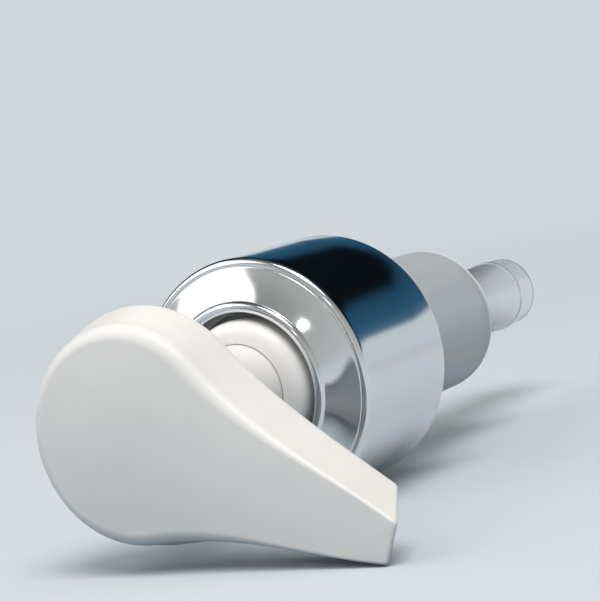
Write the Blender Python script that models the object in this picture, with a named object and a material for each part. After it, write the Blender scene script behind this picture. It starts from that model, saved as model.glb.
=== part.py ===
"""Lotion pump head for a soap bottle, lying on its side as it comes off the bottle.

The pump is modelled upright about the local Z axis, with the actuator head at the top and the foot of
the chrome collar at height zero. One empty then lays the whole pump down, so that its axis runs along
world Y at the collar's radius above the floor. A second empty turns the head until its nozzle touches
the floor. All sizes are in metres.
"""

import math

import bmesh
import bpy
from mathutils import Vector

for old_object in list(bpy.data.objects):
    bpy.data.objects.remove(old_object, do_unlink=True)

# Clearances and small values that the whole pump shares
FIT_GAP = 0.0003
CUT_OVERRUN = 0.001
WELD_DISTANCE = 0.000001

# Facets round a turned piece, a spout or a small hole, and steps in each rounded edge of a profile
LARGE_FACETS = 48
SMALL_FACETS = 32
SPOUT_FACETS = 16
HOLE_FACETS = 12
PROFILE_ARC_STEPS = 4
BALL_SUBDIVISIONS = 3
SMOOTH_ANGLE = math.radians(35)

# Shades as linear colours, with how rough and how opaque each surface is
WHITE = (0.84, 0.84, 0.85)
NATURAL = (0.80, 0.83, 0.85)
CHROME = (0.86, 0.86, 0.87)
FOAM = (0.83, 0.83, 0.80)
SEAL = (0.70, 0.71, 0.71)
SPRING_WIRE = (0.55, 0.55, 0.54)
BALL_STEEL = (0.62, 0.62, 0.61)
MIRROR_ROUGHNESS = 0.06
BALL_ROUGHNESS = 0.15
WIRE_ROUGHNESS = 0.25
GLOSS_ROUGHNESS = 0.30
SATIN_ROUGHNESS = 0.42
SEAL_ROUGHNESS = 0.60
FOAM_ROUGHNESS = 0.90
HOUSING_OPACITY = 0.55
TUBE_OPACITY = 0.45

# Chrome collar, a thin deep-drawn shell
COLLAR_STRAIGHT_HEIGHT = 0.0198
COLLAR_WALL = 0.0007
COLLAR_RIM_RADIUS = 0.0011
COLLAR_GROOVE_DEPTH = 0.00015
COLLAR_GROOVE_WIDTH = 0.0003
COLLAR_FACE_RISE = 0.0020
COLLAR_FACE_SAG = 0.0003
COLLAR_BEAD_RADIUS = 0.0007
COLLAR_BEAD_RISE = 0.0004
COLLAR_BORE_DEPTH = 0.0018

# Lock ring, the white cap that shows in the collar's bore
LOCK_RING_OVERHANG = 0.0004
LOCK_RING_RISE = 0.0002
LOCK_RING_SHOULDER_RADIUS = 0.0013
LOCK_RING_DOME_WIDTH = 0.0007
LOCK_RING_DOME_RISE = 0.0011
LOCK_RING_DISH_DEPTH = 0.0003
LOCK_RING_GUIDE_LENGTH = 0.0048
LOCK_RING_SKIRT_LENGTH = 0.0075
LOCK_RING_SKIRT_WALL = 0.0013
LOCK_RING_SKIRT_SPACE = 0.0011
LOCK_RING_EDGE_RADIUS = 0.0004

# Threaded closure inside the collar, for a bottle neck 28 mm across its thread
CLOSURE_FOOT_RECESS = 0.0006
CLOSURE_WALL = 0.0011
CLOSURE_PLATE = 0.0014
CLOSURE_TOP_RISE = 0.0001
CLOSURE_CHAMFER = 0.0008
THREAD_DEPTH = 0.0010
THREAD_TOOTH_RADIUS = 0.0007
THREAD_PITCH = 0.0042
THREAD_TURNS = 1.6
THREAD_START = 0.0035
THREAD_POINTS_PER_TURN = 24

# Gasket and pump housing, with the space round the housing that the bottle's neck goes into
GASKET_THICKNESS = 0.0012
GASKET_SIDE_SPACE = 0.0013
BOTTLE_NECK_SPACE = 0.0040
HOUSING_WALL = 0.0013
HOUSING_FLANGE_SIDE_SPACE = 0.0009
HOUSING_FLANGE_THICKNESS = 0.0011
HOUSING_DEPTH = 0.0283
HOUSING_FLOOR = 0.0015
HOUSING_FOOT_RADIUS = 0.0008
VENT_RADIUS = 0.0006
VENT_BELOW_FLANGE = 0.0036

# Inlet tube pressed into the housing's floor
INLET_TUBE_RADIUS = 0.0050
INLET_TUBE_WALL = 0.0012
INLET_TUBE_LENGTH = 0.0257
INLET_NECK_RADIUS = 0.0045
INLET_SEAT_DEPTH = 0.0047
INLET_SEAT_THICKNESS = 0.0014
INLET_SEAT_HOLE_RADIUS = 0.0017
INLET_MOUTH_LENGTH = 0.0042
INLET_MOUTH_WALL = 0.0008
INLET_BAND_HEIGHT = 0.0002
INLET_BAND_LENGTH = 0.0008

# Valve balls and the cage that holds the lower one
INLET_BALL_RADIUS = 0.0025
OUTLET_BALL_RADIUS = 0.0022
CAGE_THICKNESS = 0.0013
CAGE_HOLE_RADIUS = 0.0011
CAGE_HOLE_CIRCLE_RADIUS = 0.0030
CAGE_HOLES = 5

# Stem, piston and the plug that holds them together
STEM_RADIUS = 0.0035
STEM_BORE_RADIUS = 0.0022
STEM_TOP_BELOW_HEAD = 0.0028
STEM_SEAT_DEPTH = 0.0053
STEM_SEAT_THICKNESS = 0.0010
STEM_SEAT_HOLE_RADIUS = 0.0016
STEM_CHAMBER_RADIUS = 0.0026
STEM_STOP_RADIUS = 0.0046
STEM_STOP_THICKNESS = 0.0010
PISTON_HEIGHT = 0.0060
PISTON_REST_GAP = 0.0004
PISTON_HUB_WALL = 0.0012
PISTON_LIP_WALL = 0.0007
PISTON_WEB = 0.0014
RETAINER_RADIUS = 0.0066
RETAINER_FLANGE = 0.0011
RETAINER_PLUG_LENGTH = 0.0034
RETAINER_BORE_RADIUS = 0.0011
WIPER_THICKNESS = 0.0013

# Return spring
SPRING_COIL_RADIUS = 0.0056
SPRING_WIRE_RADIUS = 0.0005
SPRING_END_PITCH = 0.0016
SPRING_TURNS = 8
SPRING_POINTS_PER_TURN = 10
SPRING_LEAST_GAP = 0.0004

# Actuator head, a teardrop shell that tapers to the nozzle
HEAD_TOP_ABOVE_RING = 0.02575
HEAD_DEPTH = 0.0072
HEAD_ROUND_RADIUS = 0.0125
HEAD_DRAFT = 0.0015
HEAD_WALL = 0.0011
HEAD_ROOF = 0.0015
HEAD_EDGE_RADIUS = 0.0016
HEAD_FOOT_RADIUS = 0.0005
HEAD_CROWN = 0.0005
NOZZLE_REACH = 0.0340
NOZZLE_HALF_WIDTH = 0.0028
NOZZLE_CORNER_RADIUS = 0.0007
NOZZLE_SLANT = 0.0029
NOZZLE_EDGE_RADIUS = 0.0006
SHOULDER_ANGLE = math.radians(61.6)
NOZZLE_TAPER_SHARE = -0.28
CROWN_RING_SHARES = (0.62, 0.22)
CROWN_HEIGHT_SHARES = (0.75, 1.0)
ROUND_END_STEPS = 20
SIDE_STEPS = 9
CORNER_STEPS = 2
EDGE_STEPS = 4

# Core inside the head: base plate, neck and spout
CORE_PLATE = 0.0012
CORE_PLATE_RECESS = 0.0009
CORE_BOSS_RADIUS = 0.0052
NECK_RADIUS = 0.0056
NECK_ENTRY = 0.00305
NECK_CHAMFER = 0.0005
SPOUT_TUBE_RADIUS = 0.0017
SPOUT_BORE_RADIUS = 0.0011
SPOUT_HEIGHT_ABOVE_BASE = 0.0040
CORE_CHAMBER_RADIUS = 0.0019
BYPASS_SLOT_WIDTH = 0.0009
BYPASS_SLOT_DEPTH = 0.0010

# Radii that follow from the neck outwards: lock ring, housing, closure and collar
GUIDE_RADIUS = NECK_RADIUS + FIT_GAP
LOCK_RING_SKIRT_RADIUS = GUIDE_RADIUS + LOCK_RING_SKIRT_SPACE + LOCK_RING_SKIRT_WALL
HOUSING_BORE_RADIUS = LOCK_RING_SKIRT_RADIUS + FIT_GAP
HOUSING_RADIUS = HOUSING_BORE_RADIUS + HOUSING_WALL
LOCK_RING_RADIUS = HOUSING_BORE_RADIUS + LOCK_RING_OVERHANG
CLOSURE_BORE_RADIUS = HOUSING_RADIUS + BOTTLE_NECK_SPACE
CLOSURE_RADIUS = CLOSURE_BORE_RADIUS + CLOSURE_WALL
COLLAR_INNER_RADIUS = CLOSURE_RADIUS + FIT_GAP
COLLAR_RADIUS = COLLAR_INNER_RADIUS + COLLAR_WALL
COLLAR_BORE_RADIUS = LOCK_RING_RADIUS + 2 * FIT_GAP
HOUSING_FLANGE_RADIUS = CLOSURE_BORE_RADIUS - HOUSING_FLANGE_SIDE_SPACE
GASKET_INNER_RADIUS = HOUSING_RADIUS + FIT_GAP
GASKET_RADIUS = CLOSURE_BORE_RADIUS - GASKET_SIDE_SPACE

# Heights that follow from the collar's foot at zero, through the closure and the housing's flange
COLLAR_FACE_FOOT = COLLAR_STRAIGHT_HEIGHT + COLLAR_RIM_RADIUS - COLLAR_GROOVE_DEPTH
COLLAR_LIP_HEIGHT = COLLAR_FACE_FOOT + COLLAR_FACE_RISE
CLOSURE_TOP_HEIGHT = COLLAR_STRAIGHT_HEIGHT + CLOSURE_TOP_RISE
CLOSURE_PLATE_HEIGHT = CLOSURE_TOP_HEIGHT - CLOSURE_PLATE
HOUSING_TOP_HEIGHT = CLOSURE_PLATE_HEIGHT - FIT_GAP
HOUSING_FLANGE_HEIGHT = HOUSING_TOP_HEIGHT - HOUSING_FLANGE_THICKNESS
VENT_HEIGHT = HOUSING_FLANGE_HEIGHT - VENT_BELOW_FLANGE
GASKET_TOP_HEIGHT = HOUSING_FLANGE_HEIGHT - FIT_GAP
GASKET_FOOT_HEIGHT = GASKET_TOP_HEIGHT - GASKET_THICKNESS
LOCK_RING_EDGE_HEIGHT = COLLAR_LIP_HEIGHT + LOCK_RING_RISE
LOCK_RING_TOP_HEIGHT = LOCK_RING_EDGE_HEIGHT + LOCK_RING_DOME_RISE
LOCK_RING_FOOT_HEIGHT = HOUSING_TOP_HEIGHT + FIT_GAP
LOCK_RING_SKIRT_HEIGHT = LOCK_RING_FOOT_HEIGHT - LOCK_RING_SKIRT_LENGTH
WIPER_TOP_HEIGHT = LOCK_RING_SKIRT_HEIGHT - FIT_GAP
WIPER_FOOT_HEIGHT = WIPER_TOP_HEIGHT - WIPER_THICKNESS
HOUSING_FLOOR_HEIGHT = HOUSING_FLOOR - HOUSING_DEPTH
CAGE_FOOT_HEIGHT = HOUSING_FLOOR_HEIGHT + FIT_GAP
CAGE_TOP_HEIGHT = CAGE_FOOT_HEIGHT + CAGE_THICKNESS
INLET_TUBE_FOOT_HEIGHT = -HOUSING_DEPTH - INLET_TUBE_LENGTH
INLET_SEAT_HEIGHT = -HOUSING_DEPTH - INLET_SEAT_DEPTH

# Heights of what moves: the head and its neck, then the stem, the piston and the plug below it
HEAD_TOP_HEIGHT = LOCK_RING_TOP_HEIGHT + HEAD_TOP_ABOVE_RING
HEAD_BASE_HEIGHT = HEAD_TOP_HEIGHT - HEAD_DEPTH
HEAD_EDGE_HEIGHT = HEAD_TOP_HEIGHT - HEAD_EDGE_RADIUS
NECK_FOOT_HEIGHT = LOCK_RING_TOP_HEIGHT - NECK_ENTRY
SPOUT_HEIGHT = HEAD_BASE_HEIGHT + SPOUT_HEIGHT_ABOVE_BASE
STEM_TOP_HEIGHT = HEAD_BASE_HEIGHT - STEM_TOP_BELOW_HEAD
STEM_SEAT_HEIGHT = STEM_TOP_HEIGHT - STEM_SEAT_DEPTH
PISTON_TOP_HEIGHT = WIPER_FOOT_HEIGHT - PISTON_REST_GAP
STEM_FOOT_HEIGHT = PISTON_TOP_HEIGHT - PISTON_HEIGHT
RETAINER_TOP_HEIGHT = STEM_FOOT_HEIGHT - FIT_GAP
RETAINER_FOOT_HEIGHT = RETAINER_TOP_HEIGHT - RETAINER_FLANGE
PLUG_RADIUS = STEM_BORE_RADIUS - FIT_GAP


def reach_at(height):
    """How far the nozzle reaches at a height: its end face leans back towards the base."""
    return NOZZLE_REACH - NOZZLE_SLANT * (HEAD_EDGE_HEIGHT - height) / (HEAD_EDGE_HEIGHT - HEAD_BASE_HEIGHT)


def draft_at(height):
    """How much the side wall has widened at a height, counted from the top edge."""
    return HEAD_DRAFT * (HEAD_EDGE_HEIGHT - height) / (HEAD_EDGE_HEIGHT - HEAD_BASE_HEIGHT)


# The head turns until the widest corner of its nozzle reaches the floor, one collar radius below the axis.
def nozzle_drop_angle():
    corner_height = HEAD_BASE_HEIGHT + HEAD_FOOT_RADIUS
    corner_reach = reach_at(corner_height) - NOZZLE_CORNER_RADIUS
    corner_side = NOZZLE_HALF_WIDTH + draft_at(corner_height) - NOZZLE_CORNER_RADIUS
    drop = COLLAR_RADIUS - NOZZLE_CORNER_RADIUS
    return math.asin(drop / math.hypot(corner_reach, corner_side)) - math.atan2(corner_side, corner_reach)


NOZZLE_ANGLE = nozzle_drop_angle()
NOZZLE_SIDE_EXTENT = (
    (NOZZLE_REACH - NOZZLE_CORNER_RADIUS) * math.cos(NOZZLE_ANGLE)
    + (NOZZLE_HALF_WIDTH - NOZZLE_CORNER_RADIUS) * math.sin(NOZZLE_ANGLE)
    + NOZZLE_CORNER_RADIUS
)
HEAD_CROWN_HEIGHT = HEAD_TOP_HEIGHT + HEAD_CROWN

# The world's origin is on the floor, under the middle of the whole pump's box.
AXIS_X = (COLLAR_RADIUS - NOZZLE_SIDE_EXTENT) / 2
AXIS_Y = (HEAD_CROWN_HEIGHT + INLET_TUBE_FOOT_HEIGHT) / 2


def add_empty(name, parent=None):
    empty = bpy.data.objects.new(name, None)
    bpy.context.collection.objects.link(empty)
    empty.parent = parent
    return empty


pump_axis = add_empty("pump_axis")
pump_axis.location = (AXIS_X, AXIS_Y, COLLAR_RADIUS)
pump_axis.rotation_euler = (math.radians(90), 0, 0)
head_swivel = add_empty("head_swivel", pump_axis)
head_swivel.rotation_euler = (0, 0, -NOZZLE_ANGLE)


def add_material(name, colour, roughness, metallic=0.0, alpha=1.0):
    material = bpy.data.materials.new(name)
    material.use_nodes = True
    shader = material.node_tree.nodes["Principled BSDF"]
    shader.inputs["Base Color"].default_value = (*colour, 1.0)
    shader.inputs["Roughness"].default_value = roughness
    shader.inputs["Metallic"].default_value = metallic
    shader.inputs["Alpha"].default_value = alpha
    return material


def new_object(name, mesh, parent, material=None):
    part = bpy.data.objects.new(name, mesh)
    bpy.context.collection.objects.link(part)
    part.parent = parent
    if material:
        mesh.materials.append(material)
    return part


def mesh_from(name, bm):
    bmesh.ops.remove_doubles(bm, verts=bm.verts, dist=WELD_DISTANCE)
    bmesh.ops.recalc_face_normals(bm, faces=bm.faces)
    mesh = bpy.data.meshes.new(name)
    bm.to_mesh(mesh)
    bm.free()
    return mesh


def arc(centre, radius, start_degrees, end_degrees):
    """Points of an arc in a turned profile, as (radius, height) pairs."""
    points = []
    for step in range(PROFILE_ARC_STEPS + 1):
        angle = math.radians(start_degrees + (end_degrees - start_degrees) * step / PROFILE_ARC_STEPS)
        points.append((centre[0] + radius * math.cos(angle), centre[1] + radius * math.sin(angle)))
    return points


def smooth_by_angle(mesh):
    mesh.shade_smooth()
    mesh.set_sharp_from_angle(angle=SMOOTH_ANGLE)
    return mesh


def turned_mesh(name, profile, facets):
    """Spins a closed outline of (radius, height) pairs once round Z."""
    bm = bmesh.new()
    vertices = [bm.verts.new((radius, 0, height)) for radius, height in profile]
    edges = [bm.edges.new((vertices[i - 1], vertices[i])) for i in range(len(vertices))]
    bmesh.ops.spin(
        bm,
        geom=vertices + edges,
        cent=(0, 0, 0),
        axis=(0, 0, 1),
        dvec=(0, 0, 0),
        angle=math.tau,
        steps=facets,
        use_merge=True,
    )
    return smooth_by_angle(mesh_from(name, bm))


def turned(name, profile, facets, material, parent=pump_axis):
    return new_object(name, turned_mesh(name, profile, facets), parent, material)


def as_tool(tool):
    tool.hide_render = True
    tool.display_type = "WIRE"
    return tool


def turned_tool(name, profile, facets, parent=pump_axis):
    return as_tool(turned(name, profile, facets, None, parent))


def cylinder_tool(name, radius, start, end, facets, parent=pump_axis):
    """A cylinder from one point to another, used to cut or to join."""
    bm = bmesh.new()
    along = Vector(end) - Vector(start)
    bmesh.ops.create_cone(
        bm,
        cap_ends=True,
        segments=facets,
        radius1=radius,
        radius2=radius,
        depth=along.length,
    )
    tool = as_tool(new_object(name, mesh_from(name, bm), parent))
    tool.location = (Vector(start) + Vector(end)) / 2
    tool.rotation_mode = "QUATERNION"
    tool.rotation_quaternion = along.to_track_quat("Z", "Y")
    return tool


def combine(part, operation, *tools):
    for tool in tools:
        boolean = part.modifiers.new(tool.name, "BOOLEAN")
        boolean.operation = operation
        boolean.solver = "EXACT"
        boolean.object = tool


def teardrop(widening, reach):
    """Half a turn of round end, an S-curve along each side and a straight cut across the nozzle."""
    radius = HEAD_ROUND_RADIUS + widening
    half_width = NOZZLE_HALF_WIDTH + widening
    corner = min(NOZZLE_CORNER_RADIUS, half_width / 2)
    start = Vector((radius * math.cos(SHOULDER_ANGLE), radius * math.sin(SHOULDER_ANGLE)))
    end = Vector((reach - corner, half_width))
    run = end.x - start.x
    leave = Vector((run, -run / math.tan(SHOULDER_ANGLE))) / 3
    arrive = Vector((run, run * NOZZLE_TAPER_SHARE)) / 3
    side = []
    for step in range(SIDE_STEPS + 1):
        t = step / SIDE_STEPS
        side.append(
            start * (1 - t) ** 3
            + (start + leave) * 3 * t * (1 - t) ** 2
            + (end - arrive) * 3 * t**2 * (1 - t)
            + end * t**3
        )
    for step in range(1, CORNER_STEPS + 1):
        angle = math.pi / 2 * (1 - step / CORNER_STEPS)
        side.append(Vector((end.x + corner * math.cos(angle), end.y - corner + corner * math.sin(angle))))
    outline = []
    for step in range(ROUND_END_STEPS):
        angle = -SHOULDER_ANGLE - (math.tau - 2 * SHOULDER_ANGLE) * step / ROUND_END_STEPS
        outline.append(Vector((radius * math.cos(angle), radius * math.sin(angle))))
    outline.extend(side)
    outline.extend(Vector((point.x, -point.y)) for point in reversed(side[1:]))
    return outline


def drawn_to_spine(outline, share):
    """Pulls an outline in towards the line that runs from the round end to the nozzle."""
    spine_end = outline[ROUND_END_STEPS + SIDE_STEPS].x
    ring = []
    for point in outline:
        spine = Vector((min(max(point.x, 0), spine_end), 0))
        ring.append(spine + (point - spine) * share)
    return ring


def lofted_mesh(name, rings):
    """Joins rings of equal length, given as (outline, height) pairs, and closes both ends."""
    bm = bmesh.new()
    loops = [[bm.verts.new((point.x, point.y, height)) for point in outline] for outline, height in rings]
    for lower, upper in zip(loops, loops[1:]):
        for i in range(len(lower)):
            bm.faces.new((lower[i - 1], lower[i], upper[i], upper[i - 1]))
    bm.faces.new(loops[0])
    bm.faces.new(reversed(loops[-1]))
    return mesh_from(name, bm)


white_head = add_material("white_moulded_head", WHITE, GLOSS_ROUGHNESS)
white_core = add_material("white_moulded_core", WHITE, SATIN_ROUGHNESS)
white_ring = add_material("white_moulded_lock_ring", WHITE, GLOSS_ROUGHNESS)
white_closure = add_material("white_moulded_closure", WHITE, SATIN_ROUGHNESS)
white_stem = add_material("white_moulded_stem", WHITE, SATIN_ROUGHNESS)
chrome = add_material("chromed_aluminium", CHROME, MIRROR_ROUGHNESS, metallic=1.0)
natural_housing = add_material("natural_plastic_housing", NATURAL, GLOSS_ROUGHNESS, alpha=HOUSING_OPACITY)
natural_tube = add_material("natural_plastic_tube", NATURAL, GLOSS_ROUGHNESS, alpha=TUBE_OPACITY)
natural_piston = add_material("natural_plastic_piston", NATURAL, SATIN_ROUGHNESS)
natural_cage = add_material("natural_plastic_cage", NATURAL, SATIN_ROUGHNESS)
natural_retainer = add_material("natural_plastic_retainer", NATURAL, SATIN_ROUGHNESS)
foam = add_material("foam_gasket", FOAM, FOAM_ROUGHNESS)
soft_seal = add_material("soft_wiper_seal", SEAL, SEAL_ROUGHNESS)
spring_steel = add_material("stainless_spring_wire", SPRING_WIRE, WIRE_ROUGHNESS, metallic=1.0)
inlet_steel = add_material("inlet_ball_steel", BALL_STEEL, BALL_ROUGHNESS, metallic=1.0)
outlet_steel = add_material("outlet_ball_steel", BALL_STEEL, BALL_ROUGHNESS, metallic=1.0)


def collar_profile():
    """Outer side upwards, over the rolled rim, the dished face and the bore's bead, then back inside."""
    rim_centre = (COLLAR_RADIUS - COLLAR_RIM_RADIUS, COLLAR_STRAIGHT_HEIGHT)
    groove_radius = rim_centre[0] - COLLAR_GROOVE_WIDTH
    bead_centre = (
        COLLAR_BORE_RADIUS + COLLAR_BEAD_RADIUS,
        COLLAR_LIP_HEIGHT + COLLAR_BEAD_RISE - COLLAR_BEAD_RADIUS,
    )
    bead_foot = bead_centre[0] + COLLAR_BEAD_RADIUS
    face_middle = (
        (groove_radius + bead_foot) / 2,
        COLLAR_FACE_FOOT + COLLAR_FACE_RISE / 2 - COLLAR_FACE_SAG,
    )
    profile = [(COLLAR_RADIUS, 0)]
    profile += arc(rim_centre, COLLAR_RIM_RADIUS, 0, 90)
    profile += [(groove_radius, COLLAR_FACE_FOOT)]
    profile += [face_middle, (bead_foot, COLLAR_LIP_HEIGHT - COLLAR_GROOVE_DEPTH)]
    profile += arc(bead_centre, COLLAR_BEAD_RADIUS, 30, 180)
    profile += [(COLLAR_BORE_RADIUS, COLLAR_LIP_HEIGHT - COLLAR_BORE_DEPTH)]
    profile += [(COLLAR_BORE_RADIUS + COLLAR_WALL, COLLAR_LIP_HEIGHT - COLLAR_BORE_DEPTH)]
    profile += [(COLLAR_BORE_RADIUS + COLLAR_WALL, COLLAR_LIP_HEIGHT - COLLAR_WALL - COLLAR_GROOVE_DEPTH)]
    profile += [(face_middle[0], face_middle[1] - COLLAR_WALL)]
    profile += [(groove_radius, COLLAR_FACE_FOOT - COLLAR_WALL)]
    profile += [(COLLAR_INNER_RADIUS, COLLAR_STRAIGHT_HEIGHT), (COLLAR_INNER_RADIUS, 0)]
    return profile


collar_shell = turned("collar_shell", collar_profile(), LARGE_FACETS, chrome)


def closure_profile():
    """Threaded skirt with a plate across the top that clamps the housing's flange."""
    hole_radius = LOCK_RING_RADIUS + FIT_GAP
    return [
        (CLOSURE_RADIUS, CLOSURE_FOOT_RECESS),
        (CLOSURE_RADIUS, CLOSURE_TOP_HEIGHT - CLOSURE_CHAMFER),
        (CLOSURE_RADIUS - CLOSURE_CHAMFER, CLOSURE_TOP_HEIGHT),
        (hole_radius, CLOSURE_TOP_HEIGHT),
        (hole_radius, CLOSURE_PLATE_HEIGHT),
        (CLOSURE_BORE_RADIUS, CLOSURE_PLATE_HEIGHT),
        (CLOSURE_BORE_RADIUS, CLOSURE_FOOT_RECESS),
    ]


def wire_curve(name, points, radius):
    """An unbroken tube of six sides along the given points."""
    curve = bpy.data.curves.new(name, "CURVE")
    curve.dimensions = "3D"
    curve.bevel_depth = radius
    curve.bevel_resolution = 1
    curve.use_fill_caps = True
    path = curve.splines.new("POLY")
    path.points.add(len(points) - 1)
    for point, place in zip(path.points, points):
        point.co = (*place, 1)
    return curve


def thread_tool():
    """A helical tooth that stands out of the closure's bore, as a round-backed ridge."""
    radius = CLOSURE_BORE_RADIUS - THREAD_DEPTH + THREAD_TOOTH_RADIUS
    points = []
    for step in range(round(THREAD_TURNS * THREAD_POINTS_PER_TURN) + 1):
        turn = step / THREAD_POINTS_PER_TURN
        angle = math.tau * turn
        height = THREAD_START + THREAD_PITCH * turn
        points.append(Vector((radius * math.cos(angle), radius * math.sin(angle), height)))
    wire = new_object("thread_wire", wire_curve("thread_wire", points, THREAD_TOOTH_RADIUS), None)
    bm = bmesh.new()
    bm.from_mesh(bpy.data.meshes.new_from_object(wire))
    bpy.data.objects.remove(wire)
    return as_tool(new_object("thread_ridge", mesh_from("thread_ridge", bm), pump_axis))


closure_cap = turned("closure_cap", closure_profile(), LARGE_FACETS, white_closure)
combine(closure_cap, "UNION", thread_tool())

neck_gasket = turned(
    "neck_gasket",
    [
        (GASKET_INNER_RADIUS, GASKET_FOOT_HEIGHT),
        (GASKET_RADIUS, GASKET_FOOT_HEIGHT),
        (GASKET_RADIUS, GASKET_TOP_HEIGHT),
        (GASKET_INNER_RADIUS, GASKET_TOP_HEIGHT),
    ],
    LARGE_FACETS,
    foam,
)


def lock_ring_profile():
    """Domed white cap with a guide bore for the neck and a skirt that plugs the housing."""
    skirt_inside = LOCK_RING_SKIRT_RADIUS - LOCK_RING_SKIRT_WALL
    shoulder_centre = (
        LOCK_RING_RADIUS - LOCK_RING_SHOULDER_RADIUS,
        LOCK_RING_EDGE_HEIGHT - LOCK_RING_SHOULDER_RADIUS,
    )
    dome_radius = shoulder_centre[0] - LOCK_RING_DOME_WIDTH
    guide_foot = LOCK_RING_TOP_HEIGHT - LOCK_RING_GUIDE_LENGTH
    profile = [(LOCK_RING_SKIRT_RADIUS, LOCK_RING_SKIRT_HEIGHT)]
    profile += [(LOCK_RING_SKIRT_RADIUS, LOCK_RING_FOOT_HEIGHT), (LOCK_RING_RADIUS, LOCK_RING_FOOT_HEIGHT)]
    profile += arc(shoulder_centre, LOCK_RING_SHOULDER_RADIUS, 0, 75)
    profile += [(dome_radius, LOCK_RING_TOP_HEIGHT)]
    profile += [(GUIDE_RADIUS + LOCK_RING_EDGE_RADIUS, LOCK_RING_TOP_HEIGHT - LOCK_RING_DISH_DEPTH)]
    profile += [(GUIDE_RADIUS, LOCK_RING_TOP_HEIGHT - LOCK_RING_DISH_DEPTH - LOCK_RING_EDGE_RADIUS)]
    profile += [(GUIDE_RADIUS, guide_foot), (skirt_inside, guide_foot)]
    profile += [(skirt_inside, LOCK_RING_SKIRT_HEIGHT)]
    return profile


lock_ring = turned("lock_ring", lock_ring_profile(), LARGE_FACETS, white_ring)


def housing_profile():
    """Pump chamber: flange at the top, straight barrel, floor with a hole for the inlet tube."""
    floor_hole = INLET_NECK_RADIUS + FIT_GAP
    foot_centre = (HOUSING_RADIUS - HOUSING_FOOT_RADIUS, -HOUSING_DEPTH + HOUSING_FOOT_RADIUS)
    profile = [(HOUSING_BORE_RADIUS, HOUSING_TOP_HEIGHT), (HOUSING_BORE_RADIUS, HOUSING_FLOOR_HEIGHT)]
    profile += [(floor_hole, HOUSING_FLOOR_HEIGHT), (floor_hole, -HOUSING_DEPTH)]
    profile += arc(foot_centre, HOUSING_FOOT_RADIUS, -90, 0)
    profile += [(HOUSING_RADIUS, HOUSING_FLANGE_HEIGHT)]
    profile += [(HOUSING_FLANGE_RADIUS, HOUSING_FLANGE_HEIGHT), (HOUSING_FLANGE_RADIUS, HOUSING_TOP_HEIGHT)]
    return profile


housing = turned("housing", housing_profile(), LARGE_FACETS, natural_housing)
combine(
    housing,
    "DIFFERENCE",
    cylinder_tool(
        "vent_hole",
        VENT_RADIUS,
        (HOUSING_BORE_RADIUS - CUT_OVERRUN, 0, VENT_HEIGHT),
        (HOUSING_RADIUS + CUT_OVERRUN, 0, VENT_HEIGHT),
        HOLE_FACETS,
    ),
)


def inlet_tube_profile():
    """Plugs the housing's floor, seats the lower ball and ends in a thin mouth for a dip tube."""
    bore = INLET_TUBE_RADIUS - INLET_TUBE_WALL
    mouth = INLET_TUBE_RADIUS - INLET_MOUTH_WALL
    seat_foot = INLET_SEAT_HEIGHT - INLET_SEAT_THICKNESS
    mouth_top = INLET_TUBE_FOOT_HEIGHT + INLET_MOUTH_LENGTH
    band_radius = INLET_TUBE_RADIUS + INLET_BAND_HEIGHT
    return [
        (INLET_NECK_RADIUS, HOUSING_FLOOR_HEIGHT),
        (bore, HOUSING_FLOOR_HEIGHT),
        (bore, INLET_SEAT_HEIGHT),
        (INLET_SEAT_HOLE_RADIUS, INLET_SEAT_HEIGHT),
        (INLET_SEAT_HOLE_RADIUS, seat_foot),
        (bore, seat_foot),
        (bore, mouth_top),
        (mouth, mouth_top),
        (mouth, INLET_TUBE_FOOT_HEIGHT),
        (INLET_TUBE_RADIUS, INLET_TUBE_FOOT_HEIGHT),
        (INLET_TUBE_RADIUS, mouth_top),
        (band_radius, mouth_top),
        (band_radius, mouth_top + INLET_BAND_LENGTH),
        (INLET_TUBE_RADIUS, mouth_top + INLET_BAND_LENGTH),
        (INLET_TUBE_RADIUS, -HOUSING_DEPTH - FIT_GAP),
        (INLET_NECK_RADIUS, -HOUSING_DEPTH - FIT_GAP),
    ]


inlet_tube = turned("inlet_tube", inlet_tube_profile(), SMALL_FACETS, natural_tube)


def cage_object():
    """Perforated disc on the chamber's floor: the spring stands on it and it keeps the ball below."""
    radius = HOUSING_BORE_RADIUS - FIT_GAP
    side = [(radius, CAGE_FOOT_HEIGHT), (radius, CAGE_TOP_HEIGHT)]
    outline = [(0, CAGE_FOOT_HEIGHT), *side, (0, CAGE_TOP_HEIGHT)]
    cage = turned("ball_cage", outline, SMALL_FACETS, natural_cage)
    for hole in range(CAGE_HOLES):
        angle = math.tau * hole / CAGE_HOLES
        x = CAGE_HOLE_CIRCLE_RADIUS * math.cos(angle)
        y = CAGE_HOLE_CIRCLE_RADIUS * math.sin(angle)
        start = (x, y, CAGE_FOOT_HEIGHT - CUT_OVERRUN)
        end = (x, y, CAGE_TOP_HEIGHT + CUT_OVERRUN)
        tool = cylinder_tool(f"cage_hole_{hole}", CAGE_HOLE_RADIUS, start, end, HOLE_FACETS)
        combine(cage, "DIFFERENCE", tool)
    return cage


ball_cage = cage_object()


def valve_ball(name, radius, seat_height, seat_hole_radius, material):
    """A ball that rests one fit gap above the edge of the hole that it closes."""
    bm = bmesh.new()
    bmesh.ops.create_icosphere(bm, subdivisions=BALL_SUBDIVISIONS, radius=radius)
    mesh = mesh_from(name, bm)
    mesh.shade_smooth()
    ball = new_object(name, mesh, pump_axis, material)
    ball.location.z = seat_height + math.sqrt(radius**2 - seat_hole_radius**2) + FIT_GAP
    return ball


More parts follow.
